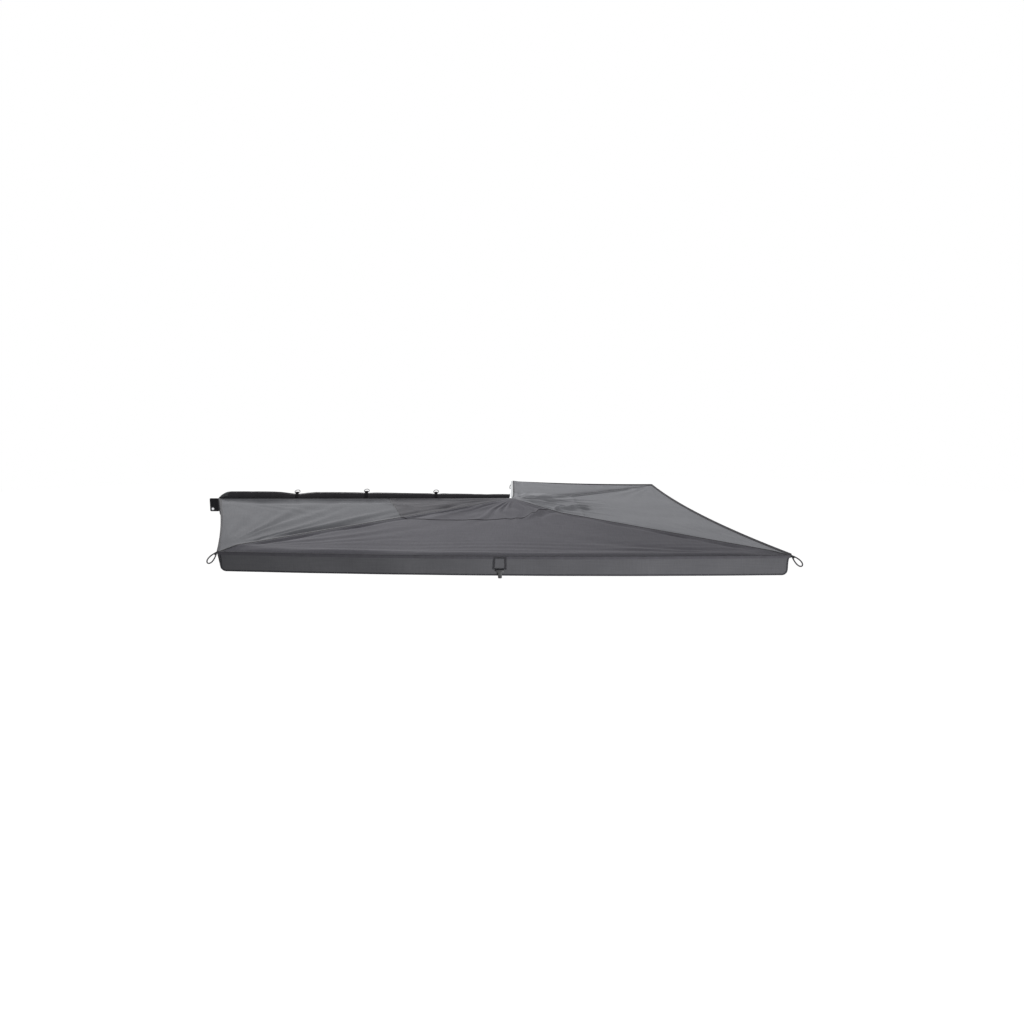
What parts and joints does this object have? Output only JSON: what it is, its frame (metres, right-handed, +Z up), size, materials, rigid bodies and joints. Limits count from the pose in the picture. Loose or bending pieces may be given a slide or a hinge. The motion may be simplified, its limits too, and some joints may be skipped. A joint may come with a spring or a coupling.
{
  "type": "vehicle side awning",
  "caption": "Free-standing fan awning for a vehicle's roof rack: a back rail with slotted brackets, swinging arms on one upright pivot and a valanced cloth canopy.",
  "frame": {"origin": "middle of the foot of the rack bracket nearest the hub, on its underside", "axes": "+Z up, +X along the back rail towards the hub, +Y towards the vehicle"},
  "size_m": [3.7822, 3.6814, 0.3149],
  "materials": {
    "rail_aluminium": "anodised, satin",
    "black_steel": "black powder coat",
    "zinc_steel": "zinc plated",
    "nylon": "moulded, fine grain",
    "canopy_cloth": "coated polyester and cotton weave",
    "front_canopy_cloth": "coated polyester and cotton weave",
    "valance_cloth": "coated polyester and cotton weave",
    "cover_cloth": "coated cover cloth",
    "webbing": "woven polyester webbing",
    "cord": "braided cord",
    "foot_rubber": "moulded rubber"
  },
  "bodies": {
    "root": {"back_rail": "rail_aluminium", "bracket_bolt_1": "zinc_steel", "bracket_bolt_2": "zinc_steel", "bracket_bolt_3": "zinc_steel", "cover_bag": "cover_cloth", "end_tab": "webbing", "hub_bolt_1": "zinc_steel", "hub_bolt_2": "zinc_steel", "hub_bottom_plate": "black_steel", "hub_cap": "nylon", "hub_top_plate": "black_steel", "pivot_bolt": "zinc_steel", "pivot_bush": "nylon", "pivot_nut": "zinc_steel", "rack_bracket_1": "black_steel", "rack_bracket_2": "black_steel", "rack_bracket_3": "black_steel", "rail_end_cap": "nylon", "ring_tab_1": "webbing", "ring_tab_2": "webbing", "ring_tab_3": "webbing"},
    "bail": {"front_bail": "webbing", "bail_toggle": "nylon"},
    "arm_1": {"arm_1_tube": "rail_aluminium", "arm_1_knuckle": "black_steel", "arm_1_tip": "nylon", "canopy_panel_1": "canopy_cloth", "valance_1": "valance_cloth", "corner_loop_1": "cord"},
    "arm_2": {"arm_2_tube": "rail_aluminium", "arm_2_knuckle": "black_steel", "arm_2_tip": "nylon", "canopy_panel_2": "front_canopy_cloth", "valance_2": "valance_cloth", "corner_loop_2": "cord", "leg_1_hinge_pin": "zinc_steel"},
    "arm_3": {"arm_3_tube": "rail_aluminium", "arm_3_knuckle": "black_steel", "arm_3_tip": "nylon", "canopy_panel_3": "canopy_cloth", "valance_3": "valance_cloth", "corner_loop_3": "cord", "leg_2_hinge_pin": "zinc_steel"},
    "arm_4": {"arm_4_tube": "rail_aluminium", "arm_4_knuckle": "black_steel", "arm_4_tip": "nylon", "canopy_panel_4": "canopy_cloth", "valance_4": "valance_cloth", "corner_loop_4": "cord"},
    "leg_1": {"leg_1_outer_tube": "rail_aluminium"},
    "leg_1_inner": {"leg_1_inner_tube": "rail_aluminium", "leg_1_foot": "foot_rubber"},
    "leg_1_lock": {"leg_1_collar": "nylon"},
    "leg_2": {"leg_2_outer_tube": "rail_aluminium"},
    "leg_2_inner": {"leg_2_inner_tube": "rail_aluminium", "leg_2_foot": "foot_rubber"},
    "leg_2_lock": {"leg_2_collar": "nylon"},
    "ring_1": {"d_ring_1": "zinc_steel"},
    "ring_2": {"d_ring_2": "zinc_steel"},
    "ring_3": {"d_ring_3": "zinc_steel"}
  },
  "joints": [
    {"name": "arm_1_swing", "type": "hinge", "parent": "root", "child": "arm_1", "pos_m": [0.35, -0.2098, 0.026], "axis": [0, 0, 1], "range_deg": [-41.78, 0], "deforming": ["canopy_panel_1", "valance_1"]},
    {"name": "arm_2_swing", "type": "hinge", "parent": "arm_1", "child": "arm_2", "pos_m": [0.35, -0.2098, 0.026], "axis": [0, 0, 1], "range_deg": [-95.07, 0], "deforming": ["canopy_panel_2", "valance_2"]},
    {"name": "arm_3_swing", "type": "hinge", "parent": "arm_2", "child": "arm_3", "pos_m": [0.35, -0.2098, 0.026], "axis": [0, 0, 1], "range_deg": [-95.07, 0], "deforming": ["canopy_panel_3", "valance_3"]},
    {"name": "arm_4_swing", "type": "hinge", "parent": "arm_3", "child": "arm_4", "pos_m": [0.35, -0.2098, 0.026], "axis": [0, 0, 1], "range_deg": [-38.07, 0], "deforming": ["canopy_panel_4", "valance_4"]},
    {"name": "bail_swing", "type": "hinge", "parent": "arm_1", "child": "bail", "pos_m": [0.35, -0.2098, 0.026], "axis": [0, 0, 1], "range_deg": [-48.82, 0], "deforming": ["front_bail"]},
    {"name": "leg_1_fold", "type": "hinge", "parent": "arm_2", "child": "leg_1", "pos_m": [1.76508, -1.62926, -0.08474], "axis": [-0.6838, -0.7296, 0], "range_deg": [0, 90]},
    {"name": "leg_1_extend", "type": "slide", "parent": "leg_1", "child": "leg_1_inner", "axis": [-0.7292, 0.6834, 0.0349], "range_m": [0, 0.68]},
    {"name": "leg_1_lock_turn", "type": "hinge", "parent": "leg_1", "child": "leg_1_lock", "pos_m": [0.96297, -0.8775, -0.04635], "axis": [-0.7292, 0.6834, 0.0349], "range_deg": [0, 90]},
    {"name": "leg_2_fold", "type": "hinge", "parent": "arm_3", "child": "leg_2", "pos_m": [1.61203, 1.3462, -0.08474], "axis": [0.7872, -0.6167, 0], "range_deg": [0, 90]},
    {"name": "leg_2_extend", "type": "slide", "parent": "leg_2", "child": "leg_2_inner", "axis": [-0.6163, -0.7868, 0.0349], "range_m": [0, 0.68]},
    {"name": "leg_2_lock_turn", "type": "hinge", "parent": "leg_2", "child": "leg_2_lock", "pos_m": [0.93413, 0.48077, -0.04635], "axis": [-0.6163, -0.7868, 0.0349], "range_deg": [0, 90]},
    {"name": "d_ring_1_swing", "type": "hinge", "parent": "root", "child": "ring_1", "pos_m": [-0.216, -0.0628, 0.10573], "axis": [1, 0, 0], "range_deg": [-35, 115]},
    {"name": "d_ring_2_swing", "type": "hinge", "parent": "root", "child": "ring_2", "pos_m": [-0.733, -0.0628, 0.11221], "axis": [1, 0, 0], "range_deg": [-35, 115]},
    {"name": "d_ring_3_swing", "type": "hinge", "parent": "root", "child": "ring_3", "pos_m": [-1.25, -0.0628, 0.10593], "axis": [1, 0, 0], "range_deg": [-35, 115]}
  ],
  "couplings": [
    {"joint": "bail_swing", "follows": "arm_2_swing", "ratio": 0.5134}
  ]
}
